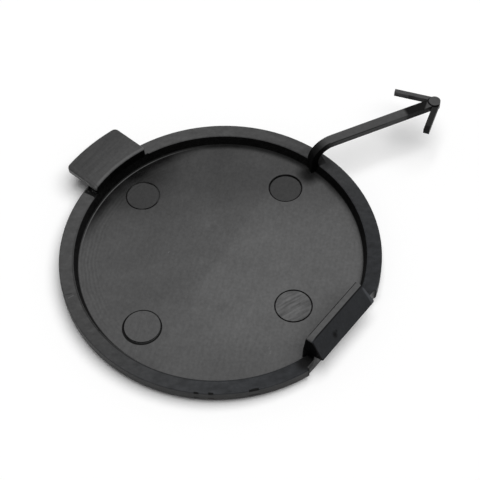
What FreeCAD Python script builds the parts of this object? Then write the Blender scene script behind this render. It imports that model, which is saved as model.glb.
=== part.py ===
import FreeCAD, Part
import math
import os
import Sketcher

# A cover for the tow hook opening of a car bumper, moulded in one piece: a shallow dish with a raised
# rim, a hook tab, a snap clip across from it, and a retaining strap that ends in an arrow.
# Millimetres. Z points up out of the inner side, and the origin is the middle of the flat outer face.
# Azimuths are degrees about Z, counted from +X, where the snap clip is.

NODE = "tow_hook_cover"
NEAR = 0.001

SIZES = [
    # Dish
    ("disc_radius", 37.5),
    ("total_height", 4.2),
    ("plate_thickness", 1.7),
    ("outer_edge_round", 2.0),
    ("rim_width", 3.4),
    ("rim_edge_round", 0.3),
    ("rim_edge_chamfer", 0.15),
    ("wall_draft", 0.8),
    ("wall_foot_chamfer", 0.3),
    # Hook tab: a wall on the rim with a flat pad that reaches outwards
    ("hook_azimuth", 180.0),
    ("hook_offset", -1.5),
    ("hook_width", 16.4),
    ("hook_overhang", 6.4),
    ("hook_gap", 1.1),
    ("hook_pad_thickness", 1.4),
    ("hook_wall_thickness", 1.9),
    ("hook_wall_inset", 0.1),
    ("hook_corner_round", 1.3),
    ("hook_edge_round", 0.5),
    # Snap clip: an upright wall on the edge of the plate with a wedge on its outer side
    ("clip_azimuth", 2.4),
    ("clip_width", 19.6),
    ("clip_height", 5.6),
    ("clip_foot_thickness", 3.3),
    ("clip_inner_lean", 0.55),
    ("clip_top_width", 1.5),
    ("clip_catch_reach", 2.2),
    ("clip_catch_height", 1.4),
    ("clip_catch_drop", 0.6),
    ("clip_end_lean", 0.6),
    ("clip_corner_round", 0.5),
    ("clip_edge_round", 0.3),
    # Opening in the rim around the clip
    ("relief_depth", 2.9),
    ("relief_left_gap", 3.2),
    ("relief_right_gap", 2.45),
    ("relief_flare", 1.5),
    # Retaining strap: a post at the rim, a bend and a straight run
    ("strap_post_inset", 0.4),
    ("strap_post_azimuth", 89.56),
    ("strap_azimuth", 64.4),
    ("strap_width", 2.2),
    ("strap_thickness", 1.8),
    ("strap_height", 6.8),
    ("strap_bend", 4.1),
    ("strap_length", 32.5),
    # Arrow at the end of the strap
    ("head_radius", 1.42),
    ("arrow_turn", 2.3),
    ("head_height", 2.05),
    ("head_rise", 0.15),
    ("left_barb_length", 10.1),
    ("right_barb_length", 9.1),
    ("left_barb_width", 1.1),
    ("right_barb_width", 1.45),
    ("barb_height", 1.35),
    ("barb_lift", 0.35),
    ("barb_side_inset", 0.07),
    ("barb_angle", 43.4),
    # Ejector pin marks in the floor, each with a groove around it
    ("hook_pin_size", 4.15),
    ("strap_pin_size", 4.05),
    ("plain_pin_size", 4.45),
    ("clip_pin_size", 4.4),
    ("pin_groove_width", 0.3),
    ("pin_groove_depth", 0.3),
    ("pin_sink", 0.15),
    ("pin_rise", 0.25),
    ("hook_pin_radius", 26.2),
    ("hook_pin_azimuth", 177.1),
    ("strap_pin_radius", 25.0),
    ("strap_pin_azimuth", 92.5),
    ("plain_pin_radius", 25.6),
    ("plain_pin_azimuth", -92.2),
    ("clip_pin_radius", 21.7),
    ("clip_pin_azimuth", 1.5),
]


class Dim:
    """A size, or a sum made from sizes: its number for the first drawing, and its expression."""

    def __init__(self, number, text):
        self.number = number
        self.text = text

    def __add__(self, other):
        other = as_dim(other)
        return Dim(self.number + other.number, f"({self.text} + {other.text})")

    def __sub__(self, other):
        other = as_dim(other)
        return Dim(self.number - other.number, f"({self.text} - {other.text})")

    def __mul__(self, other):
        other = as_dim(other)
        return Dim(self.number * other.number, f"({self.text} * {other.text})")

    def __truediv__(self, other):
        other = as_dim(other)
        return Dim(self.number / other.number, f"({self.text} / {other.text})")

    def __neg__(self):
        return Dim(-self.number, f"(-1 * {self.text})")


def as_dim(value):
    if isinstance(value, Dim):
        return value
    return Dim(float(value), str(float(value)))


def cosine(angle):
    return Dim(math.cos(math.radians(angle.number)), f"cos({angle.text} * 1deg)")


def sine(angle):
    return Dim(math.sin(math.radians(angle.number)), f"sin({angle.text} * 1deg)")


def reach(radius, beside):
    """How far out a circle about the origin is, at a distance beside the axis."""
    number = math.sqrt(radius.number ** 2 - beside.number ** 2)
    return Dim(number, f"sqrt(({radius.text})^2 - ({beside.text})^2)")


def make_sheet(doc):
    sheet = doc.addObject("Spreadsheet::Sheet", "Sizes")
    for row, (alias, number) in enumerate(SIZES, start=1):
        sheet.set(f"A{row}", alias)
        sheet.set(f"B{row}", str(number))
        sheet.setAlias(f"B{row}", alias)
    doc.recompute()


def origin_plane(body, role):
    for feature in body.Origin.OriginFeatures:
        if feature.Role == role:
            return feature
    raise ValueError(role)


def new_sketch(body, name, role, offset=None, axis=None, angle=None):
    """A sketch on an origin plane, moved and turned within the plane's own axes."""
    sketch = body.newObject("Sketcher::SketchObject", name)
    sketch.AttachmentSupport = [(origin_plane(body, role), "")]
    sketch.MapMode = "FlatFace"
    if axis is not None:
        turn = FreeCAD.Rotation(axis, angle.number)
        sketch.AttachmentOffset = FreeCAD.Placement(FreeCAD.Vector(), turn)
        sketch.setExpression(".AttachmentOffset.Rotation.Angle", angle.text)
    for letter, dim in (offset or {}).items():
        sketch.setExpression(f".AttachmentOffset.Base.{letter}", dim.text)
    return sketch


class Outline:
    """A closed outline of lines and arcs whose corners are tied to the sizes."""

    def __init__(self, x, y):
        self.corners = [(as_dim(x), as_dim(y))]
        self.bends = []

    def line_to(self, x, y):
        self.corners.append((as_dim(x), as_dim(y)))
        self.bends.append(None)
        return self

    def arc_to(self, x, y, radius, left=True):
        """An arc to the point. Its centre is on the left of the way, or else on the right."""
        self.corners.append((as_dim(x), as_dim(y)))
        self.bends.append((as_dim(radius), left))
        return self

    def close_arc(self, radius, left=True):
        """An arc back to the first corner."""
        self.bends.append((as_dim(radius), left))
        return self

    def draw(self, sketch):
        count = len(self.corners)
        self.bends += [None] * (count - len(self.bends))
        first = sketch.GeometryCount
        ends = []
        for index in range(count):
            start = self.corners[index]
            stop = self.corners[(index + 1) % count]
            ends.append(self.draw_edge(sketch, start, stop, self.bends[index]))
        for index in range(count):
            geo, start_pos, _ = ends[index]
            last_geo, _, last_end = ends[index - 1]
            sketch.addConstraint(Sketcher.Constraint("Coincident", last_geo, last_end, geo, start_pos))
            x, y = self.corners[index]
            tie_point(sketch, geo, start_pos, "DistanceX", x, f"x{first}_{index}")
            tie_point(sketch, geo, start_pos, "DistanceY", y, f"y{first}_{index}")
            if self.bends[index]:
                tie_radius(sketch, geo, self.bends[index][0], f"r{first}_{index}")

    def draw_edge(self, sketch, start, stop, bend):
        a = FreeCAD.Vector(start[0].number, start[1].number, 0)
        b = FreeCAD.Vector(stop[0].number, stop[1].number, 0)
        if bend is None:
            return sketch.addGeometry(Part.LineSegment(a, b), False), 1, 2
        radius, left = bend
        half = (b - a) * 0.5
        side = FreeCAD.Vector(-half.y, half.x, 0).normalize()
        depth = math.sqrt(max(radius.number ** 2 - half.Length ** 2, 0.0))
        centre = a + half + side * (depth if left else -depth)
        if not left:
            a, b = b, a
        circle = Part.Circle(centre, FreeCAD.Vector(0, 0, 1), radius.number)
        arc = Part.ArcOfCircle(circle, circle.parameter(a), circle.parameter(b))
        geo = sketch.addGeometry(arc, False)
        return (geo, 1, 2) if left else (geo, 2, 1)


def tie_point(sketch, geo, pos, kind, dim, name):
    """Tie one coordinate of a point to its expression, or to the axis where it is zero."""
    if dim.text == "0.0":
        axis = -2 if kind == "DistanceX" else -1
        sketch.addConstraint(Sketcher.Constraint("PointOnObject", geo, pos, axis))
        return
    sketch.addConstraint(Sketcher.Constraint(kind, -1, 1, geo, pos, dim.number))
    name_and_bind(sketch, name, dim)


def tie_radius(sketch, geo, dim, name):
    sketch.addConstraint(Sketcher.Constraint("Radius", geo, dim.number))
    name_and_bind(sketch, name, dim)


def name_and_bind(sketch, name, dim):
    index = len(sketch.Constraints) - 1
    sketch.renameConstraint(index, name)
    sketch.setExpression(f"Constraints.{name}", dim.text)


def circle(sketch, x, y, radius, name):
    centre = FreeCAD.Vector(as_dim(x).number, as_dim(y).number, 0)
    shape = Part.Circle(centre, FreeCAD.Vector(0, 0, 1), radius.number)
    geo = sketch.addGeometry(shape, False)
    tie_point(sketch, geo, 3, "DistanceX", as_dim(x), f"{name}_x")
    tie_point(sketch, geo, 3, "DistanceY", as_dim(y), f"{name}_y")
    tie_radius(sketch, geo, radius, f"{name}_r")


def new_feature(body, kind, name, sketch):
    feature = body.newObject(f"PartDesign::{kind}", name)
    feature.Profile = sketch
    sketch.Visibility = False
    return feature


def pad(body, name, sketch, length, symmetric=False, down=False):
    feature = new_feature(body, "Pad", name, sketch)
    feature.setExpression("Length", length.text)
    feature.Reversed = down
    if symmetric:
        feature.SideType = "Symmetric"
    return feature


def pocket(body, name, sketch, length=None):
    """A cut downwards from the sketch, to a depth or through everything."""
    feature = new_feature(body, "Pocket", name, sketch)
    if length is None:
        feature.Type = "ThroughAll"
    else:
        feature.setExpression("Length", length.text)
    return feature


def is_level(edge, height):
    box = edge.BoundBox
    return box.ZLength < NEAR and abs(box.ZMax - height) < NEAR


def is_upright(edge):
    box = edge.BoundBox
    return box.ZLength > 10 * max(box.XLength, box.YLength)


def round_edges(body, name, base, size, wanted):
    """Round those edges of the feature so far for which wanted(edge) is true."""
    body.Document.recompute()
    names = [f"Edge{n}" for n, edge in enumerate(base.Shape.Edges, start=1) if wanted(edge)]
    feature = body.newObject("PartDesign::Fillet", name)
    feature.Base = (base, names)
    feature.setExpression("Radius", size.text)
    return feature


def rim_inner_radius(size):
    return size["disc_radius"] - size["rim_width"]


def clip_face_place(size):
    """How far out the clip's upright outer face and the cut edge of the plate are."""
    return size["disc_radius"] - size["relief_depth"]


def make_dish(body, size):
    """The plate and its rim, turned about Z: a drafted inner wall and a rounded outer edge."""
    outer = size["disc_radius"]
    top = size["total_height"]
    inner = rim_inner_radius(size)
    foot = inner - size["wall_draft"]
    floor = size["plate_thickness"]
    big = size["outer_edge_round"]
    small = size["rim_edge_round"]
    bevel = size["rim_edge_chamfer"]
    foot_bevel = size["wall_foot_chamfer"]
    outline = Outline(0, 0)
    outline.line_to(outer - big, 0)
    outline.arc_to(outer, big, big)
    outline.line_to(outer, top - small)
    outline.arc_to(outer - small, top, small)
    outline.line_to(inner + bevel, top)
    outline.line_to(inner, top - bevel)
    outline.line_to(foot, floor + foot_bevel)
    outline.line_to(foot - foot_bevel, floor)
    outline.line_to(0, floor)
    sketch = new_sketch(body, "DishProfile", "XZ_Plane")
    outline.draw(sketch)
    dish = new_feature(body, "Revolution", "Dish", sketch)
    dish.ReferenceAxis = (sketch, ["V_Axis"])
    dish.Angle = 360
    return dish


def make_relief(body, size):
    """The opening in the rim around the snap clip, cut through, with flared ends."""
    edge = clip_face_place(size)
    left = size["clip_width"] / 2 + size["relief_left_gap"]
    right = size["clip_width"] / 2 + size["relief_right_gap"]
    flare = size["relief_flare"]
    beyond = size["disc_radius"] * 1.2
    outline = Outline(edge, -right)
    outline.arc_to(edge + flare, -right - flare, flare, left=False)
    outline.line_to(beyond, -right - flare)
    outline.line_to(beyond, left + flare)
    outline.line_to(edge + flare, left + flare)
    outline.arc_to(edge, left, flare, left=False)
    z_axis = FreeCAD.Vector(0, 0, 1)
    lift = {"z": size["total_height"]}
    sketch = new_sketch(body, "ReliefPlan", "XY_Plane", lift, z_axis, size["clip_azimuth"])
    outline.draw(sketch)
    return pocket(body, "Relief", sketch)


def hook_plan(body, name, size, inner, outer, height):
    """The plan of a piece of the hook tab: two arcs about the disc's axis and two parallel sides."""
    left = size["hook_offset"] - size["hook_width"] / 2
    right = size["hook_offset"] + size["hook_width"] / 2
    outline = Outline(reach(inner, left), left)
    outline.line_to(reach(outer, left), left)
    outline.arc_to(reach(outer, right), right, outer)
    outline.line_to(reach(inner, right), right)
    outline.close_arc(inner, left=False)
    z_axis = FreeCAD.Vector(0, 0, 1)
    sketch = new_sketch(body, name, "XY_Plane", {"z": height}, z_axis, size["hook_azimuth"])
    outline.draw(sketch)
    return sketch


def make_hook(body, size):
    """A wall that carries the rim's inner face upwards, and the pad that reaches out over the rim."""
    inner = rim_inner_radius(size) - size["hook_wall_inset"]
    outer = size["disc_radius"] + size["hook_overhang"]
    seat = size["plate_thickness"]
    pad_base = size["total_height"] + size["hook_gap"]
    rise = pad_base + size["hook_pad_thickness"] / 2 - seat
    wall_outer = inner + size["hook_wall_thickness"]
    wall_sketch = hook_plan(body, "HookWallPlan", size, inner, wall_outer, seat)
    pad(body, "HookWall", wall_sketch, rise)
    pad_sketch = hook_plan(body, "HookPadPlan", size, inner, outer, pad_base)
    hook = pad(body, "HookPad", pad_sketch, size["hook_pad_thickness"])
    pad_top = (pad_base + size["hook_pad_thickness"]).number
    rim_edge = size["disc_radius"].number

    def outer_corner(edge):
        middle = edge.BoundBox.Center
        above = middle.z > pad_base.number
        return is_upright(edge) and above and math.hypot(middle.x, middle.y) > rim_edge

    corners = round_edges(body, "HookCorners", hook, size["hook_corner_round"], outer_corner)

    wall_middle = (inner.number + wall_outer.number) / 2

    def inner_edge(edge):
        middle = edge.valueAt((edge.FirstParameter + edge.LastParameter) / 2)
        return is_level(edge, pad_top) and math.hypot(middle.x, middle.y) < wall_middle

    def outer_edge(edge):
        return is_level(edge, pad_top) and not inner_edge(edge)

    edges = round_edges(body, "HookEdges", corners, size["hook_edge_round"], outer_edge)
    return round_edges(body, "HookInnerEdge", edges, size["hook_edge_round"], inner_edge)


def lean_clip_ends(body, size, low, top, tip):
    """A thin wedge off both ends of the clip, so that it narrows from the catch to the top."""
    half = size["clip_width"] / 2
    lean = size["clip_end_lean"]
    outside = tip + size["clip_catch_reach"]
    depth = outside - clip_face_place(size) + size["clip_foot_thickness"] * 2
    azimuth = size["clip_azimuth"]
    place = {"x": outside * sine(azimuth), "z": outside * cosine(azimuth)}
    y_axis = FreeCAD.Vector(0, 1, 0)
    sketch = new_sketch(body, "ClipEndPlan", "YZ_Plane", place, y_axis, azimuth)
    for side in (1, -1):
        outline = Outline(half * side, low)
        outline.line_to((half + lean) * side, low)
        outline.line_to((half + lean) * side, top + lean)
        outline.line_to((half - lean) * side, top + lean)
        outline.line_to((half - lean) * side, top)
        outline.draw(sketch)
    return pocket(body, "ClipEnds", sketch, depth)


def make_clip(body, size):
    """The upright wall of the snap clip with its wedge, drawn from the side and padded both ways."""
    rim_top = size["total_height"]
    top = rim_top + size["clip_height"]
    catch = rim_top + size["clip_catch_height"]
    face = clip_face_place(size)
    tip = face + size["clip_catch_reach"]
    under = catch - size["clip_catch_drop"]
    foot = face - size["clip_foot_thickness"]
    top_inner = foot + size["clip_inner_lean"]
    outline = Outline(foot, size["plate_thickness"] / 2)
    outline.line_to(face, size["plate_thickness"] / 2)
    outline.line_to(face, under)
    outline.line_to(tip, catch)
    outline.line_to(top_inner + size["clip_top_width"], top)
    outline.line_to(top_inner, top)
    outline.line_to(foot, size["plate_thickness"])
    y_axis = FreeCAD.Vector(0, 1, 0)
    sketch = new_sketch(body, "ClipProfile", "XZ_Plane", None, y_axis, size["clip_azimuth"])
    outline.draw(sketch)
    pad(body, "Clip", sketch, size["clip_width"], symmetric=True)
    clip = lean_clip_ends(body, size, catch, top, tip)

    def catch_side(edge):
        box = edge.BoundBox
        return abs(box.ZMin - under.number) < NEAR and abs(box.ZMax - catch.number) < NEAR

    corners = round_edges(body, "ClipCorners", clip, size["clip_corner_round"], catch_side)

    def top_edge(edge):
        return is_level(edge, top.number)

    return round_edges(body, "ClipEdges", corners, size["clip_edge_round"], top_edge)


def post_place(size):
    radius = rim_inner_radius(size) - size["strap_post_inset"]
    azimuth = size["strap_post_azimuth"]
    return radius * cosine(azimuth), radius * sine(azimuth)


def make_strap(body, size):
    """The strap from the side: a post out of the floor, a bend and a straight run to the arrow."""
    half = size["strap_thickness"] / 2
    top = size["total_height"] + size["strap_height"]
    under = top - size["strap_thickness"]
    bend = size["strap_bend"]
    wide_bend = bend + size["strap_thickness"]
    foot = size["plate_thickness"] / 2
    outline = Outline(-half, foot)
    outline.line_to(half, foot)
    outline.line_to(half, under - bend)
    outline.arc_to(half + bend, under, bend, left=False)
    outline.line_to(size["strap_length"], under)
    outline.line_to(size["strap_length"], top)
    outline.line_to(half + bend, top)
    outline.arc_to(-half, top - wide_bend, wide_bend, left=True)
    post_x, post_y = post_place(size)
    y_axis = FreeCAD.Vector(0, 1, 0)
    place = {"x": post_x, "z": -post_y}
    sketch = new_sketch(body, "StrapProfile", "XZ_Plane", place, y_axis, size["strap_azimuth"])
    outline.draw(sketch)
    return pad(body, "Strap", sketch, size["strap_width"], symmetric=True)


def arrow_sketch(body, name, size, height):
    """A level sketch at the end of the strap, with its X the way the arrow points."""
    run = size["strap_length"]
    post_x, post_y = post_place(size)
    place = {
        "x": post_x + run * cosine(size["strap_azimuth"]),
        "y": post_y + run * sine(size["strap_azimuth"]),
        "z": height,
    }
    z_axis = FreeCAD.Vector(0, 0, 1)
    turn = size["strap_azimuth"] + size["arrow_turn"]
    return new_sketch(body, name, "XY_Plane", place, z_axis, turn)


def make_arrow(body, size):
    """The round head on the strap's end and the two barbs that point back from it."""
    top = size["total_height"] + size["strap_height"] + size["head_rise"]
    head_sketch = arrow_sketch(body, "HeadPlan", size, top)
    circle(head_sketch, 0, 0, size["head_radius"], "head")
    pad(body, "Head", head_sketch, size["head_height"], down=True)
    barb_base = top - size["head_height"] + size["barb_lift"]
    outer = size["head_radius"] - size["barb_side_inset"]
    along = cosine(size["barb_angle"])
    across = sine(size["barb_angle"])
    barb = None
    for hand, side in (("left", 1), ("right", -1)):
        name = f"{hand.capitalize()}Barb"
        length = size[f"{hand}_barb_length"]
        inner = outer - size[f"{hand}_barb_width"]
        end_x = -along * length
        end_y = across * length * side
        outline = Outline(across * inner, along * inner * side)
        outline.line_to(across * outer, along * outer * side)
        outline.line_to(end_x + across * outer, end_y + along * outer * side)
        outline.line_to(end_x + across * inner, end_y + along * inner * side)
        sketch = arrow_sketch(body, f"{name}Plan", size, barb_base)
        outline.draw(sketch)
        barb = pad(body, name, sketch, size["barb_height"])
    return barb


def make_pin_mark(body, size, name, level):
    """One ejector pin mark: a groove ring in the floor around a disc that is sunk, level or raised."""
    azimuth = size[f"{name}_pin_azimuth"]
    place = {
        "x": size[f"{name}_pin_radius"] * cosine(azimuth),
        "y": size[f"{name}_pin_radius"] * sine(azimuth),
        "z": size["plate_thickness"],
    }
    label = name.capitalize()
    groove_outer = size[f"{name}_pin_size"]
    groove_inner = groove_outer - size["pin_groove_width"]
    ring_sketch = new_sketch(body, f"{label}PinRing", "XY_Plane", place)
    circle(ring_sketch, 0, 0, groove_outer, "outer")
    circle(ring_sketch, 0, 0, groove_inner, "inner")
    mark = pocket(body, f"{label}PinGroove", ring_sketch, size["pin_groove_depth"])
    if level == "level":
        return mark
    disc_sketch = new_sketch(body, f"{label}PinDisc", "XY_Plane", place)
    circle(disc_sketch, 0, 0, groove_inner, "disc")
    if level == "sunk":
        return pocket(body, f"{label}PinFace", disc_sketch, size["pin_sink"])
    return pad(body, f"{label}PinFace", disc_sketch, size["pin_rise"])


def check(doc):
    for item in doc.Objects:
        if "Invalid" in item.State or "Error" in item.State:
            raise RuntimeError(f"{item.Name} has state {item.State}")


def main():
    doc = FreeCAD.newDocument("TowHookCover")
    make_sheet(doc)
    size = {alias: Dim(number, f"Sizes.{alias}") for alias, number in SIZES}
    body = doc.addObject("PartDesign::Body", "Cover")
    body.Label = NODE
    body.Placement = FreeCAD.Placement()
    make_dish(body, size)
    make_relief(body, size)
    make_hook(body, size)
    make_clip(body, size)
    make_strap(body, size)
    make_arrow(body, size)
    make_pin_mark(body, size, "hook", "sunk")
    make_pin_mark(body, size, "strap", "sunk")
    make_pin_mark(body, size, "plain", "raised")
    last = make_pin_mark(body, size, "clip", "level")
    body.Tip = last
    doc.recompute()
    check(doc)
    shape = body.Shape
    if shape.isNull() or not shape.isValid() or len(shape.Solids) != 1:
        raise RuntimeError("the cover isn't one valid solid")
    print("volume", round(shape.Volume, 1), "faces", len(shape.Faces), "box", shape.BoundBox)
    os.makedirs("parts", exist_ok=True)
    shape.exportStep(f"parts/{NODE}.step")


main()
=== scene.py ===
import math

import bpy
from mathutils import Matrix, Vector


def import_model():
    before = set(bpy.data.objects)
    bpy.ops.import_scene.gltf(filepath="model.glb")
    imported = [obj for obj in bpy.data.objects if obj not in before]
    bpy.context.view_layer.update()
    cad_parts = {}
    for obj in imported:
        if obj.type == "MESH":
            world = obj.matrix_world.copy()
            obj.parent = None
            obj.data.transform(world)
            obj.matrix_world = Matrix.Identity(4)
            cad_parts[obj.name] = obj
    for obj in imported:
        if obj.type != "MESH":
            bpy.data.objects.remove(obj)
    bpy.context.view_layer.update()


# Looks for the tow hook cover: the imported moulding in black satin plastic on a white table.
# Metres, in the part's own frame. Z is up and the origin is the middle of the flat outer face.

NODE = "tow_hook_cover"

CAMERA_PLACE = (0.12675, -0.12675, 0.26838)
CAMERA_TARGET = (-0.000407, 0.007357, 0.0)
CAMERA_ROLL = math.radians(-3.01)
CAMERA_LENS = 103.15
CAMERA_SENSOR = 36.0
CAMERA_REACH = (0.01, 50.0)

WHITE = (1.0, 1.0, 1.0, 1.0)
TABLE_SIZE = 6.0
TABLE_LEVEL = -0.0002
TABLE_ROUGHNESS = 0.9

WORLD_STRENGTH = 0.16
LAMP_STRENGTH = 2.75
LAMP_WIDTH = math.radians(62)
LAMP_FROM = (0.20, 0.16, 1.0)

# The plastic. Below this line lengths and places are in millimetres, directions are in degrees from X,
# and tones are shares of the plain color.
# The plain colour, and a bluish one that is a painted reflection on the clip's slope and the rim towards
# the clip.
NEUTRAL = (0.0870, 0.0870, 0.0874, 1.0)
BLUISH_REFLECTION = (0.0800, 0.0845, 0.0925, 1.0)
ROUGHNESS = 0.42
GLOSS = 0.07
PLAIN = 0.85
BLACK = 0.0

# Sizes of the moulding that the masks follow.
OUTER = 37.5
FLOOR = 1.7
RIM_TOP = 4.2
RIM_INNER = 34.15
WALL_FOOT = 33.3
PAD_TOP = 6.7
PAD_INNER = 34.05
HOOK_START = -31.0
HOOK_HALF = 8.6
PAD_SIDE = -7.9
CLIP_TOP = 9.8
CLIP_CREST = 33.35
CLIP_CREST_WIDTH = 1.28
CLIP_START = 31.0
CLIP_HALF = 10.6
CLIP_END = -10.25
CLIP_END_LEAN = 0.135
STRAP_TOP = 11.0
STRAP_SHIFT = 14.3
STRAP_HALF = 0.98
POST = (0.6, 34.2)
POST_SIZE = (4.6, 2.8)
ARROW_START = 24.0
HEAD = (14.3, 63.0)
HEAD_EDGE = (1.25, 1.75)
LEFT_BARB_RUN = (1.6, 6.5)
RIGHT_BARB_END = 7.7

# Directions: sides of the photograph, of the moulding's features, and of the lightest rim and wall.
FAR_SIDE = 135.0
NEAR_SIDE = -45.0
RIGHT_SIDE = 45.0
HOOK_ACROSS = 87.1
CLIP_TURN = 2.4
STRAP_TURN = 64.4
LEFT_BARB = 201.0
RIGHT_BARB = 287.8
# The rim's painted sheen and the inner wall's painted light are lightest in these two directions.
RIM_SHEEN_SIDE = 170.0
WALL_LIT_SIDE = 215.0

# Widths of the masks' edges, where no other is given.
CRISP = 0.1
SOFT = 0.2
BLURRED = 0.3

# Round spots: place, radius and width of the edge.
# The first two spots are painted shadows on the rim, beside the post and beside the clip.
POST_SHADOW = ((3.2, 35.3), 1.0, 2.4)
CLIP_GAP_SHADOW = ((33.9, -10.2), 2.0, 2.4)
CLIP_NOTCH = ((31.8, 2.1), 0.3, 0.3)
DENT = ((-7.5, 4.8), 0.3, 3.4)

# Sectors of the round: direction of the middle, and half the angle.
# The rim's painted shade towards the clip, and its painted shade line along the inner edge.
RIM_DARK = (35.0, 75.0)
RIM_EDGE_SHADE = (-70.0, 100.0)
# The wall foot's painted highlight.
FOOT_HIGHLIGHT = (195.0, 60.0)
ARCS = (205.0, 70.0)
# Where the rim takes the painted bluish reflection.
BLUISH_REFLECTION_RIM = (0.0, 110.0)

# Textures: strength, size, detail, and the direction and stretch of those that are drawn out.
FLOOR_CLOUDS = (0.36, 11.0, 3.0)
FLOOR_STREAKS = (0.16, 3.0, 3.0, 20.0, 1.8)
STEP_WAVES = (5.0, 9.0, 2.0)
RIM_STREAKS = (0.55, 1.4, 4.0, RIGHT_SIDE, 2.0)
WALL_GRAIN = (0.12, 0.8, 3.0)
PAD_STREAKS = (0.36, 0.8, 3.0, 93.0, 8.0)
SLOPE_CLOUDS = (0.12, 5.0, 3.0)
STRAP_STREAKS = (0.40, 2.0, 2.0, STRAP_TURN, 4.0)
PIN_STREAKS = (1.9, 0.7, 3.0, 71.0, 6.0)
GROOVE_GAPS = (1.0, 2.6, 1.0)
RAGGED_EDGES = (2.4, 0.5, 3.0)
FINE_GRAIN = (0.50, 0.75, 4.0)
BRUSHED_LINES = (0.26, 0.6, 2.0, -60.0, 5.0)
ARC_WAVES = (1.0, 6.0, 2.0)
SATIN_CLOUDS = (0.10, 1.5, 3.0)
BUMP_GRAIN = (0.05, 0.30, 2.0)
BUMP_WAVES = (0.25, 5.0, 2.0)

# The bump's height in metres, and the dent's depth as a share of it.
BUMP_HEIGHT = 0.001
DENT_DEPTH = 0.8

# Tones of single features. The rim's change, darker part and edge line, the pad's edge, side and underside,
# the slope, the crest and its lines, the strap's line, the arrow's side and the post's cast shadow are
# painted light and shade.
RIM_TONE = 0.55
RIM_SHEEN_CHANGE = 0.24
RIM_DARKER = -0.34
RIM_EDGE_SHADE_TONE = 0.2
FOOT_HIGHLIGHT_TONE = 1.0
PAD_EDGE_HIGHLIGHT = 1.05
PAD_SIDE_LIGHT = 1.45
PAD_LINE_TONE = 0.6
PAD_UNDER_SHADE = 0.02
SLOPE_SHADE = 0.22
SLOPE_END_TONE = 0.62
CREST_LIGHT = 0.92
CREST_SHADE_LINE = 0.05
CREST_END_TONE = 0.75
CLIP_INNER_TONE = 0.55
NOTCH_TONE = 0.2
STRAP_SHADE_LINE_TONE = 0.08
ARROW_SIDE_SHADE = 0.15
POST_SHADOW_TONE = 0.3

# Changes of tone: from where, to where, first tone and last tone. All but the pad's are painted light and
# shade.
# The floor's painted shade towards the far and near sides, and painted sheen towards the right.
FLOOR_SHADE_TO_FAR = (0.0, 30.0, 1.03, 0.57)
FLOOR_SHEEN_TO_RIGHT = (-34.0, 20.0, 0.86, 1.06)
FLOOR_SHADE_TO_NEAR = (20.0, 32.0, 1.0, 0.86)
SIDE_REFLECTION_TONES = (1.3, 2.4, 0.0, 0.30)
WALL_SHADE_TONES = (26.0, 34.0, 0.0, 0.04)
PAD_TONES = (34.6, 42.0, 0.72, 0.56)
BEND_SHADE_TONES = (8.6, 10.7, 0.0, 0.72)
STRAP_SIDE_SHADE_TONES = (2.0, 6.0, 0.0, 0.48)

# A faint wavy step of tone across the floor, and how it fades towards the wall.
STEP_SIDE = 12.0
STEP_TONES = (-0.9, 1.5, -0.06, 0.06)
STEP_FADE = (20.0, 31.0, 1.0, 0.2)

# Painted shade spots of the floor, beside the hook and beside the post: place, radius, width of the edge,
# tone.
FLOOR_SHADE_SPOTS = (
    ((-34.5, 3.5), 9.0, 14.0, 0.12),
    ((0.6, 31.6), 2.4, 3.6, 0.05),
)

# Painted shade along the wall's foot: from which radius, to which, direction, half the angle, tone.
FOOT_SHADES = (
    (31.6, 33.0, FAR_SIDE, 95.0, 0.08),
    (29.5, 32.6, 175.0, 40.0, 0.03),
)

# Faint arcs on the floor beside the wall: their rate is in radians per millimetre.
ARC_START = 28.5
ARC_STOP = 32.6
ARC_RATE = 7.5
ARC_STRENGTH = 0.09

# The clip's dimples: place across the slope, level, radius, width of the edge, tone.
DIMPLES = (
    (-3.4, 7.2, 0.55, 0.9, 0.02),
    (-2.55, 7.5, 0.25, 0.5, 0.05),
)

# Pin marks: place, outer radius, shift and growth of the groove's outer edge, shift of its inner edge, tone
# of the disc, and how unbroken the groove's black is. The grooves' black is painted shade.
GROOVE = 0.33
PIN_MARKS = (
    ((-26.17, 1.33), 4.15, (0.10, -0.06), 0.03, (0.02, -0.02), 0.44, 0.25),
    ((-1.09, 24.98), 4.05, (-0.12, 0.12), 0.05, (0.0, 0.0), 0.45, 0.85),
    ((-0.98, -25.58), 4.45, (0.12, -0.25), 0.13, (0.07, -0.07), 0.89, 1.0),
    ((21.69, 0.57), 4.40, (0.0, 0.0), 0.02, (0.0, 0.0), 1.15, 0.95),
)
STREAKED_MARK = PIN_MARKS[3]

# Marks of wear, and one painted shadow: place, direction, length, width and tone.
WEAR_AND_SHADOW_MARKS = (
    ((20.65, -31.25), 34.0, 1.1, 0.5, 0.0),
    ((23.20, -29.30), 37.5, 1.2, 0.5, 0.0),
    ((29.90, -22.62), 53.0, 2.2, 0.85, 0.0),
    # A painted shadow on the rim under the corner of the hook's pad.
    ((-34.90, -6.95), 100.0, 2.0, 3.0, 0.02),
    ((-18.60, -31.10), 52.0, 1.7, 0.30, 0.38),
    ((-17.75, -31.25), 72.0, 1.5, 0.30, 1.0),
    ((-6.10, -33.36), 10.0, 1.6, 0.30, 0.15),
    ((10.63, -32.26), 18.0, 0.7, 0.25, 1.9),
    ((26.47, -27.01), 45.0, 0.7, 0.30, 1.9),
    ((-10.19, -6.77), 100.0, 0.5, 0.2, 1.35),
    ((24.60, -11.30), -75.0, 1.2, 0.20, 1.25),
    ((25.50, -12.10), -60.0, 0.8, 0.20, 1.3),
)


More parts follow.
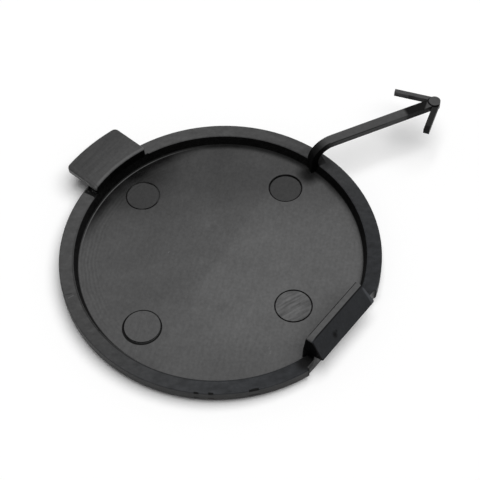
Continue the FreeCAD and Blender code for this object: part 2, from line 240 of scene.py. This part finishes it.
def add_camera():
    data = bpy.data.cameras.new("photo_camera")
    data.lens = CAMERA_LENS
    data.sensor_width = CAMERA_SENSOR
    data.clip_start, data.clip_end = CAMERA_REACH
    camera = bpy.data.objects.new("photo_camera", data)
    place = Vector(CAMERA_PLACE)
    look = (Vector(CAMERA_TARGET) - place).to_track_quat("-Z", "Y").to_matrix().to_4x4()
    roll = Matrix.Rotation(CAMERA_ROLL, 4, "Z")
    camera.matrix_world = Matrix.Translation(place) @ look @ roll
    bpy.context.collection.objects.link(camera)
    bpy.context.scene.camera = camera


def add_lamp(name, source, width, strength):
    """A wide soft lamp so far away that the table is lit evenly."""
    data = bpy.data.lights.new(name, "SUN")
    data.energy = strength
    data.angle = width
    lamp = bpy.data.objects.new(name, data)
    lamp.rotation_mode = "QUATERNION"
    lamp.rotation_quaternion = (-Vector(source)).to_track_quat("-Z", "Y")
    bpy.context.collection.objects.link(lamp)


class Nodes:
    """Short ways to add and join the nodes of one tree."""

    def __init__(self, tree):
        self.tree = tree

    def add(self, kind, **settings):
        node = self.tree.nodes.new(kind)
        for key, value in settings.items():
            setattr(node, key, value)
        return node

    def link(self, source, target):
        self.tree.links.new(source, target)

    def put(self, socket, value):
        """Links a socket, or sets the value of one that stays free."""
        if isinstance(value, bpy.types.NodeSocket):
            self.link(value, socket)
        else:
            socket.default_value = value

    def math(self, operation, first, second=0.0, third=0.0):
        node = self.add("ShaderNodeMath", operation=operation)
        for socket, value in zip(node.inputs, (first, second, third)):
            self.put(socket, value)
        return node.outputs[0]

    def ramp(self, value, low, high, start=0.0, stop=1.0):
        """A soft step: start below low, stop above high."""
        node = self.add("ShaderNodeMapRange", interpolation_type="SMOOTHSTEP")
        self.put(node.inputs["Value"], value)
        self.put(node.inputs["From Min"], low)
        self.put(node.inputs["From Max"], high)
        self.put(node.inputs["To Min"], start)
        self.put(node.inputs["To Max"], stop)
        return node.outputs["Result"]

    def mix(self, factor, first, second):
        node = self.add("ShaderNodeMix", data_type="FLOAT")
        self.put(node.inputs[0], factor)
        self.put(node.inputs[2], first)
        self.put(node.inputs[3], second)
        return node.outputs[0]

    def mix_color(self, factor, first, second):
        node = self.add("ShaderNodeMix", data_type="RGBA")
        self.put(node.inputs[0], factor)
        self.put(node.inputs[6], first)
        self.put(node.inputs[7], second)
        return node.outputs[2]


def seen_rays(nodes):
    """1 for camera, glossy and transmission rays, and 0 for the rays that light the object."""
    path = nodes.add("ShaderNodeLightPath")
    sharp = nodes.math("MAXIMUM", path.outputs["Is Camera Ray"], path.outputs["Is Glossy Ray"])
    return nodes.math("MAXIMUM", sharp, path.outputs["Is Transmission Ray"])


def set_world():
    """White where it is seen or mirrored, and weak where it lights the object."""
    world = bpy.data.worlds.new("studio_world")
    bpy.context.scene.world = world
    world.use_nodes = True
    world.node_tree.nodes.clear()
    nodes = Nodes(world.node_tree)
    shade = nodes.add("ShaderNodeBackground")
    shade.inputs["Color"].default_value = WHITE
    strength = nodes.ramp(seen_rays(nodes), 0.0, 1.0, WORLD_STRENGTH, 1.0)
    nodes.link(strength, shade.inputs["Strength"])
    out = nodes.add("ShaderNodeOutputWorld")
    nodes.link(shade.outputs[0], out.inputs["Surface"])


def add_table():
    bpy.ops.mesh.primitive_plane_add(size=TABLE_SIZE, location=(0, 0, TABLE_LEVEL))
    table = bpy.context.object
    table.name = "table"
    material = bpy.data.materials.new("table_white")
    material.use_nodes = True
    shader = material.node_tree.nodes["Principled BSDF"]
    shader.inputs["Base Color"].default_value = WHITE
    shader.inputs["Roughness"].default_value = TABLE_ROUGHNESS
    shader.inputs["Specular IOR Level"].default_value = 0.0
    table.data.materials.append(material)


class Masks(Nodes):
    """Soft masks in millimetres of the part's own frame."""

    def __init__(self, tree):
        super().__init__(tree)
        grow = self.add("ShaderNodeVectorMath", operation="SCALE")
        self.link(self.add("ShaderNodeTexCoord").outputs["Object"], grow.inputs[0])
        grow.inputs["Scale"].default_value = 1000.0
        self.place = grow.outputs[0]
        split = self.add("ShaderNodeSeparateXYZ")
        self.link(self.place, split.inputs[0])
        self.x, self.y, self.z = split.outputs
        self.radius = self.reach(self.x, self.y)
        self.floor = self.between(self.z, FLOOR - 0.9, FLOOR + 0.75, SOFT)
        self.inside = self.above(self.z, FLOOR + 0.25, SOFT)
        self.ring = self.between(self.z, RIM_TOP - 0.35, RIM_TOP + 0.2, CRISP)

    def reach(self, first, second):
        square = self.math("MULTIPLY_ADD", first, first, self.math("MULTIPLY", second, second))
        return self.math("SQRT", square)

    def both(self, *masks):
        """The product: what all masks have in common, or a value weakened by a share."""
        result = masks[0]
        for mask in masks[1:]:
            result = self.math("MULTIPLY", result, mask)
        return result

    def any(self, *masks):
        result = masks[0]
        for mask in masks[1:]:
            result = self.math("MAXIMUM", result, mask)
        return result

    def above(self, value, level, soft):
        return self.ramp(value, level - soft / 2, level + soft / 2)

    def below(self, value, level, soft):
        return self.ramp(value, level - soft / 2, level + soft / 2, 1.0, 0.0)

    def between(self, value, low, high, soft):
        return self.both(self.above(value, low, soft), self.below(value, high, soft))

    def along(self, angle, place=(0.0, 0.0)):
        """Distance from a place along a direction."""
        turn = math.radians(angle)
        start = place[0] * math.cos(turn) + place[1] * math.sin(turn)
        first = self.math("MULTIPLY", self.x, math.cos(turn))
        second = self.math("MULTIPLY_ADD", self.y, math.sin(turn), -start)
        return self.math("ADD", first, second)

    def away(self, place):
        """Distance from a place in all directions."""
        return self.reach(self.along(0.0, place), self.along(90.0, place))

    def facing(self, angle):
        """1 in one direction from the middle, 0 to its sides and -1 behind."""
        return self.math("DIVIDE", self.along(angle), self.radius)

    def patch(self, place, angle, length, width, soft):
        """A bar around a place, with its length along a direction."""
        ahead = self.math("ABSOLUTE", self.along(angle, place))
        aside = self.math("ABSOLUTE", self.along(angle + 90.0, place))
        return self.both(self.below(ahead, length / 2, soft), self.below(aside, width / 2, soft))

    def spot(self, place, size, soft):
        """A round spot, size being its radius."""
        return self.below(self.away(place), size, soft)

    def sector(self, angle, size):
        """1 in one direction from the middle, falling to 0 at size degrees from it."""
        return self.ramp(self.facing(angle), math.cos(math.radians(size)), 1.0)

    def noise(self, scale, detail, angle=0.0, stretch=1.0):
        """Noise about 0 of some size in millimetres, drawn out along a direction."""
        turn = self.add("ShaderNodeVectorRotate", rotation_type="Z_AXIS")
        self.link(self.place, turn.inputs["Vector"])
        turn.inputs["Angle"].default_value = -math.radians(angle)
        shrink = self.add("ShaderNodeVectorMath", operation="MULTIPLY")
        self.link(turn.outputs[0], shrink.inputs[0])
        shrink.inputs[1].default_value = (1.0 / scale / stretch, 1.0 / scale, 1.0 / scale)
        node = self.add("ShaderNodeTexNoise")
        self.link(shrink.outputs[0], node.inputs["Vector"])
        node.inputs["Scale"].default_value = 1.0
        node.inputs["Detail"].default_value = detail
        return self.math("SUBTRACT", node.outputs["Fac"], 0.5)

    def texture(self, strength, *noise):
        return self.both(self.noise(*noise), strength)


def floor_shade_and_sheen(m):
    """The broad, soft differences of tone over the floor: painted shade towards the far and near sides,
    painted sheen towards the right, and painted shade beside the hook, the post and the wall's foot.
    """
    tone = m.ramp(m.along(FAR_SIDE), *FLOOR_SHADE_TO_FAR)
    tone = m.both(tone, m.ramp(m.along(RIGHT_SIDE), *FLOOR_SHEEN_TO_RIGHT))
    tone = m.both(tone, m.ramp(m.along(NEAR_SIDE), *FLOOR_SHADE_TO_NEAR))
    for place, size, soft, shade in FLOOR_SHADE_SPOTS:
        tone = m.mix(m.spot(place, size, soft), tone, shade)
    for start, stop, angle, size, shade in FOOT_SHADES:
        foot = m.both(m.ramp(m.radius, start, stop), m.sector(angle, size))
        tone = m.mix(foot, tone, shade)
    step = m.ramp(m.math("ADD", m.along(STEP_SIDE), m.texture(*STEP_WAVES)), *STEP_TONES)
    tone = m.math("ADD", tone, m.both(step, m.ramp(m.radius, *STEP_FADE)))
    for texture in (FLOOR_CLOUDS, FLOOR_STREAKS):
        tone = m.math("ADD", tone, m.texture(*texture))
    return m.mix(m.floor, PLAIN, tone)


def pin_marks_and_groove_shade(m, tone):
    """The four round pin marks with the painted shade, uneven and black, in their grooves."""
    broken = m.ramp(m.texture(*GROOVE_GAPS), -0.12, 0.02, 0.1, 1.0)
    for place, size, shift, grow, inner, shade, line in PIN_MARKS:
        disc = m.both(m.spot(place, size, 0.15), m.floor)
        tone = m.mix(disc, tone, shade)
        moved = (place[0] + shift[0], place[1] + shift[1])
        middle = (place[0] + inner[0], place[1] + inner[1])
        around = m.math("SUBTRACT", 1.0, m.spot(middle, size - GROOVE, 0.08))
        # The groove's painted shade.
        groove = m.both(m.spot(moved, size + grow, 0.12), around, m.floor)
        tone = m.mix(m.both(groove, m.mix(line, broken, 1.0)), tone, BLACK)
    place, size = STREAKED_MARK[:2]
    disc = m.both(m.spot(place, size, 0.15), m.floor)
    return m.math("MULTIPLY_ADD", disc, m.texture(*PIN_STREAKS), tone)


def rim_sheen_and_shade(m, tone):
    """The flat ring, lighter towards the hook with painted sheen and darker towards the clip with painted
    shade, with a painted shade line along its inner edge and a painted shadow beside the clip's gap.
    """
    ring = m.math("MULTIPLY_ADD", m.facing(RIM_SHEEN_SIDE), RIM_SHEEN_CHANGE, RIM_TONE)
    ring = m.math("ADD", ring, m.texture(*RIM_STREAKS))
    ring = m.both(ring, m.math("MULTIPLY_ADD", m.sector(*RIM_DARK), RIM_DARKER, 1.0))
    line = m.both(m.below(m.radius, RIM_INNER + 0.3, SOFT), m.sector(*RIM_EDGE_SHADE))
    ring = m.mix(line, ring, RIM_EDGE_SHADE_TONE)
    ring = m.mix(m.spot(*CLIP_GAP_SHADOW), ring, BLACK)
    return m.mix(m.both(m.above(m.radius, RIM_INNER, SOFT), m.ring), tone, ring)


def side_reflection_and_shade(m, tone):
    """The outer wall: a grey band of painted reflection under the rim and a dark round of painted shade
    below it.
    """
    outer = m.both(m.above(m.radius, OUTER - 0.35, SOFT), m.below(m.z, RIM_TOP - 0.15, SOFT))
    return m.mix(outer, tone, m.ramp(m.z, *SIDE_REFLECTION_TONES))


def wall_shade_and_foot_highlight(m, tone):
    """Painted shade on the inner walls, which take no light, up to the rim or to the hook's pad, and a
    painted highlight along the wall's foot.
    """
    across = m.math("ABSOLUTE", m.along(HOOK_ACROSS))
    at_hook = m.both(m.below(m.x, HOOK_START + 1.0, 1.0), m.below(across, HOOK_HALF, BLURRED))
    top = m.mix(at_hook, RIM_TOP - 0.2, PAD_TOP - 0.35)
    under = m.above(m.math("SUBTRACT", top, m.z), 0.0, SOFT)
    ring = m.between(m.radius, WALL_FOOT - 0.3, RIM_INNER + 0.1, SOFT)
    # The wall's painted shade, a little lighter towards one side.
    light = m.math("ADD", m.ramp(m.along(WALL_LIT_SIDE), *WALL_SHADE_TONES), m.texture(*WALL_GRAIN))
    tone = m.mix(m.both(ring, under, m.inside), tone, light)
    # The painted highlight along the wall's foot.
    foot = m.between(m.radius, WALL_FOOT - 0.44, WALL_FOOT - 0.24, 0.15)
    foot = m.both(foot, m.below(m.z, FLOOR + 0.4, SOFT), m.sector(*FOOT_HIGHLIGHT))
    return m.mix(foot, tone, FOOT_HIGHLIGHT_TONE)


def hook_pad_light_and_shade(m, tone):
    """The hook's pad: a streaked top, a painted highlight on its inner edge, painted light on its side and
    painted shade underneath.
    """
    at_hook = m.both(m.below(m.x, HOOK_START, 0.5), m.above(m.z, RIM_TOP + 0.5, BLURRED))
    across = m.along(HOOK_ACROSS)
    upper = m.above(m.z, PAD_TOP - 0.3, SOFT)
    lower = m.below(m.z, PAD_TOP - 0.3, SOFT)
    pad = m.math("ADD", m.ramp(m.radius, *PAD_TONES), m.texture(*PAD_STREAKS))
    # The painted highlight along the pad's inner edge.
    edge = m.both(m.between(m.radius, PAD_INNER, PAD_INNER + 0.65, BLURRED), upper)
    pad = m.mix(edge, pad, PAD_EDGE_HIGHLIGHT)
    pad = m.mix(m.both(m.below(across, PAD_SIDE, 0.25), lower), pad, PAD_SIDE_LIGHT)
    line = m.between(across, PAD_SIDE - 0.05, PAD_SIDE + 0.35, 0.25)
    pad = m.mix(m.both(line, upper), pad, PAD_LINE_TONE)
    pad = m.mix(m.below(m.z, PAD_TOP - 1.15, BLURRED), pad, PAD_UNDER_SHADE)
    return m.mix(m.both(at_hook, m.above(m.radius, PAD_INNER, CRISP)), tone, pad)


def clip_slope_shade(m, aside):
    """Painted shade on the clip's slope, with its faint dimple and one lighter end."""
    slope = m.math("ADD", SLOPE_SHADE, m.texture(*SLOPE_CLOUDS))
    for across, level, size, soft, shade in DIMPLES:
        dimple = m.reach(m.math("SUBTRACT", aside, across), m.math("SUBTRACT", m.z, level))
        slope = m.mix(m.below(dimple, size, soft), slope, shade)
    end = m.both(m.above(aside, 8.9, 0.5), m.below(m.z, CLIP_TOP - 0.6, 0.4))
    return m.mix(end, slope, SLOPE_END_TONE)


def clip_top_light_and_shade(m, out, aside, slope):
    """Painted light on the clip's narrow top between two painted shade lines, and the grey of its inner
    side.
    """
    body = m.mix(m.below(out, CLIP_CREST, 0.25), slope, CREST_LIGHT)
    inner = m.both(m.below(out, CLIP_CREST, BLURRED), m.below(m.z, CLIP_TOP - 0.3, SOFT))
    body = m.mix(inner, body, CLIP_INNER_TONE)
    outer_line = m.between(out, CLIP_CREST, CLIP_CREST + 0.25, CRISP)
    lines = m.any(m.below(out, CLIP_CREST - CLIP_CREST_WIDTH, CRISP), outer_line)
    body = m.mix(m.both(lines, m.above(m.z, CLIP_TOP - 0.35, CRISP)), body, CREST_SHADE_LINE)
    end = m.both(m.below(aside, -8.2, 1.4), m.below(out, CLIP_CREST + 0.1, BLURRED))
    body = m.mix(end, body, CREST_END_TONE)
    notch = m.both(m.spot(*CLIP_NOTCH), m.above(m.z, CLIP_TOP - 0.8, SOFT))
    return m.mix(notch, body, NOTCH_TONE)


def clip_end(m, out, aside, tone):
    """Painted shadow, black, on the clip's leaning end and in the relief cut beside it."""
    reach = m.math("MULTIPLY_ADD", m.z, -CLIP_END_LEAN, m.math("SUBTRACT", aside, CLIP_END))
    end = m.both(m.below(reach, 0.0, SOFT), m.between(aside, -11.8, -7.4, SOFT))
    end = m.both(end, m.above(out, CLIP_START - 0.4, BLURRED), m.inside)
    tone = m.mix(m.both(end, m.below(m.z, CLIP_TOP - 0.4, BLURRED)), tone, BLACK)
    cut = m.both(m.between(out, 34.6, 35.5, SOFT), m.between(aside, -12.8, -8.5, BLURRED))
    return m.mix(m.both(cut, m.between(m.z, 0.4, RIM_TOP, 0.25)), tone, BLACK)


def clip_tone(m, tone):
    """The whole clip, and the mask of its slope, which also takes the painted bluish reflection."""
    out = m.along(CLIP_TURN)
    aside = m.along(CLIP_TURN + 90.0)
    here = m.both(m.above(out, CLIP_START, SOFT), m.below(m.math("ABSOLUTE", aside), CLIP_HALF, SOFT))
    here = m.both(here, m.above(m.z, RIM_TOP + 0.25, SOFT))
    tone = m.mix(here, tone, clip_top_light_and_shade(m, out, aside, clip_slope_shade(m, aside)))
    return clip_end(m, out, aside, tone), m.both(here, m.above(out, CLIP_CREST, BLURRED))


def strap_run_light_and_shade(m, run):
    """The strap from its bend on, painted black with shade at the bend: a grey top, a side darker with
    painted shade and a painted shade line between them.
    """
    aside = m.math("ADD", m.along(STRAP_TURN - 90.0), STRAP_SHIFT)
    top = m.both(m.ramp(m.z, *BEND_SHADE_TONES), m.ramp(run, -1.0, 3.5))
    top = m.both(top, m.math("ADD", 1.0, m.texture(*STRAP_STREAKS)))
    right = m.both(m.above(aside, STRAP_HALF, CRISP), m.below(m.z, STRAP_TOP - 0.15, CRISP))
    side = m.mix(m.above(run, ARROW_START, 6.0), m.ramp(run, *STRAP_SIDE_SHADE_TONES), ARROW_SIDE_SHADE)
    strap = m.mix(right, top, side)
    line = m.both(m.between(m.z, STRAP_TOP - 0.5, STRAP_TOP - 0.1, 0.15), m.below(run, 18.0, 6.0))
    return m.mix(m.both(line, m.above(aside, STRAP_HALF - 0.08, 0.15)), strap, STRAP_SHADE_LINE_TONE)


def arrow_shade(m, run, strap):
    """The arrow's head and barbs, with painted shade on their sides and ends."""
    ahead = m.above(run, ARROW_START, 1.0)
    left = m.between(m.along(LEFT_BARB, HEAD), *LEFT_BARB_RUN, 0.4)
    left_side = m.above(m.along(LEFT_BARB + 90.0, HEAD), -0.05, 0.25)
    tone = m.mix(m.both(left_side, left, ahead), strap, BLACK)
    right_end = m.above(m.along(RIGHT_BARB, HEAD), RIGHT_BARB_END, SOFT)
    tone = m.mix(m.both(right_end, ahead), tone, BLACK)
    rim = m.both(m.between(m.away(HEAD), *HEAD_EDGE, CRISP), m.below(m.z, STRAP_TOP + 0.05, 0.05))
    return m.mix(m.both(rim, m.above(run, 29.2, 1.0)), tone, BLACK)


def strap_post_shade_and_shadow(m, tone):
    """The strap with its arrow, the post below it painted black with shade, and the painted shadow on the
    rim beside it.
    """
    here = m.both(m.above(m.y, 31.8, BLURRED), m.above(m.z, RIM_TOP + 0.15, SOFT))
    run = m.along(STRAP_TURN, POST)
    tone = m.mix(here, tone, arrow_shade(m, run, strap_run_light_and_shade(m, run)))
    # The post, painted black with shade.
    post = m.both(m.patch(POST, STRAP_TURN, *POST_SIZE, BLURRED), m.inside, m.below(m.z, 6.0, 0.5))
    tone = m.mix(post, tone, BLACK)
    return m.mix(m.both(m.spot(*POST_SHADOW), m.ring), tone, POST_SHADOW_TONE)


def wear_and_shadow_tone(m, tone):
    """Small marks: the chips and the seam of the rim, scratches and light ticks, and a painted shadow on
    the rim under the hook pad's corner.
    """
    ragged = m.texture(*RAGGED_EDGES)
    edge = m.between(m.z, RIM_TOP - 0.55, RIM_TOP + 0.2, CRISP)
    for place, angle, length, width, shade in WEAR_AND_SHADOW_MARKS:
        mark = m.patch(place, angle, length, width, SOFT)
        mark = m.ramp(m.math("ADD", ragged, mark), 0.35, 0.65)
        mark = m.both(mark, m.patch(place, angle, length + 0.8, width + 0.6, SOFT))
        tone = m.mix(m.both(mark, m.any(edge, m.floor)), tone, shade)
    return tone


def fine_tone(m, tone):
    """Fine grain, faint brushed lines and faint arcs beside the wall."""
    arcs = m.math("SINE", m.both(m.math("ADD", m.radius, m.texture(*ARC_WAVES)), ARC_RATE))
    arcs = m.both(arcs, m.between(m.radius, ARC_START, ARC_STOP, 2.0), m.sector(*ARCS), ARC_STRENGTH)
    lines = m.both(m.math("ADD", m.texture(*BRUSHED_LINES), arcs), m.floor)
    share = m.math("ADD", 1.0, m.math("ADD", m.texture(*FINE_GRAIN), lines))
    return m.both(tone, share)


def plastic_tone(m):
    """The tone of the whole moulding, and the mask of the painted bluish reflection."""
    tone = pin_marks_and_groove_shade(m, floor_shade_and_sheen(m))
    for part_tone in (rim_sheen_and_shade, side_reflection_and_shade, wall_shade_and_foot_highlight, hook_pad_light_and_shade):
        tone = part_tone(m, tone)
    tone, slope = clip_tone(m, tone)
    tone = wear_and_shadow_tone(m, strap_post_shade_and_shadow(m, tone))
    tone = m.math("MAXIMUM", fine_tone(m, tone), BLACK)
    return tone, m.any(slope, m.both(m.sector(*BLUISH_REFLECTION_RIM), m.ring))


def relief(m):
    """A bump of the satin grain, of broad waves and of the dent in the floor."""
    dent = m.both(m.spot(*DENT), m.floor, -DENT_DEPTH)
    grain = m.math("ADD", m.texture(*BUMP_GRAIN), m.texture(*BUMP_WAVES))
    node = m.add("ShaderNodeBump")
    node.inputs["Strength"].default_value = 1.0
    node.inputs["Distance"].default_value = BUMP_HEIGHT
    m.link(m.math("ADD", grain, dent), node.inputs["Height"])
    return node.outputs["Normal"]


def plastic():
    material = bpy.data.materials.new("black_plastic")
    material.use_nodes = True
    m = Masks(material.node_tree)
    shader = material.node_tree.nodes["Principled BSDF"]
    tone, bluish = plastic_tone(m)
    shade = m.add("ShaderNodeVectorMath", operation="SCALE")
    # The bluish colour is a painted reflection.
    m.link(m.mix_color(bluish, NEUTRAL, BLUISH_REFLECTION), shade.inputs[0])
    m.link(tone, shade.inputs["Scale"])
    m.link(shade.outputs[0], shader.inputs["Base Color"])
    m.link(m.math("ADD", ROUGHNESS, m.texture(*SATIN_CLOUDS)), shader.inputs["Roughness"])
    m.link(relief(m), shader.inputs["Normal"])
    shader.inputs["Specular IOR Level"].default_value = GLOSS
    return material


def main():
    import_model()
    cover = bpy.data.objects[NODE]
    cover.data.materials.clear()
    cover.data.materials.append(plastic())
    add_camera()
    set_world()
    add_table()
    add_lamp("overhead", LAMP_FROM, LAMP_WIDTH, LAMP_STRENGTH)
    bpy.context.scene.view_settings.view_transform = "Standard"


main()
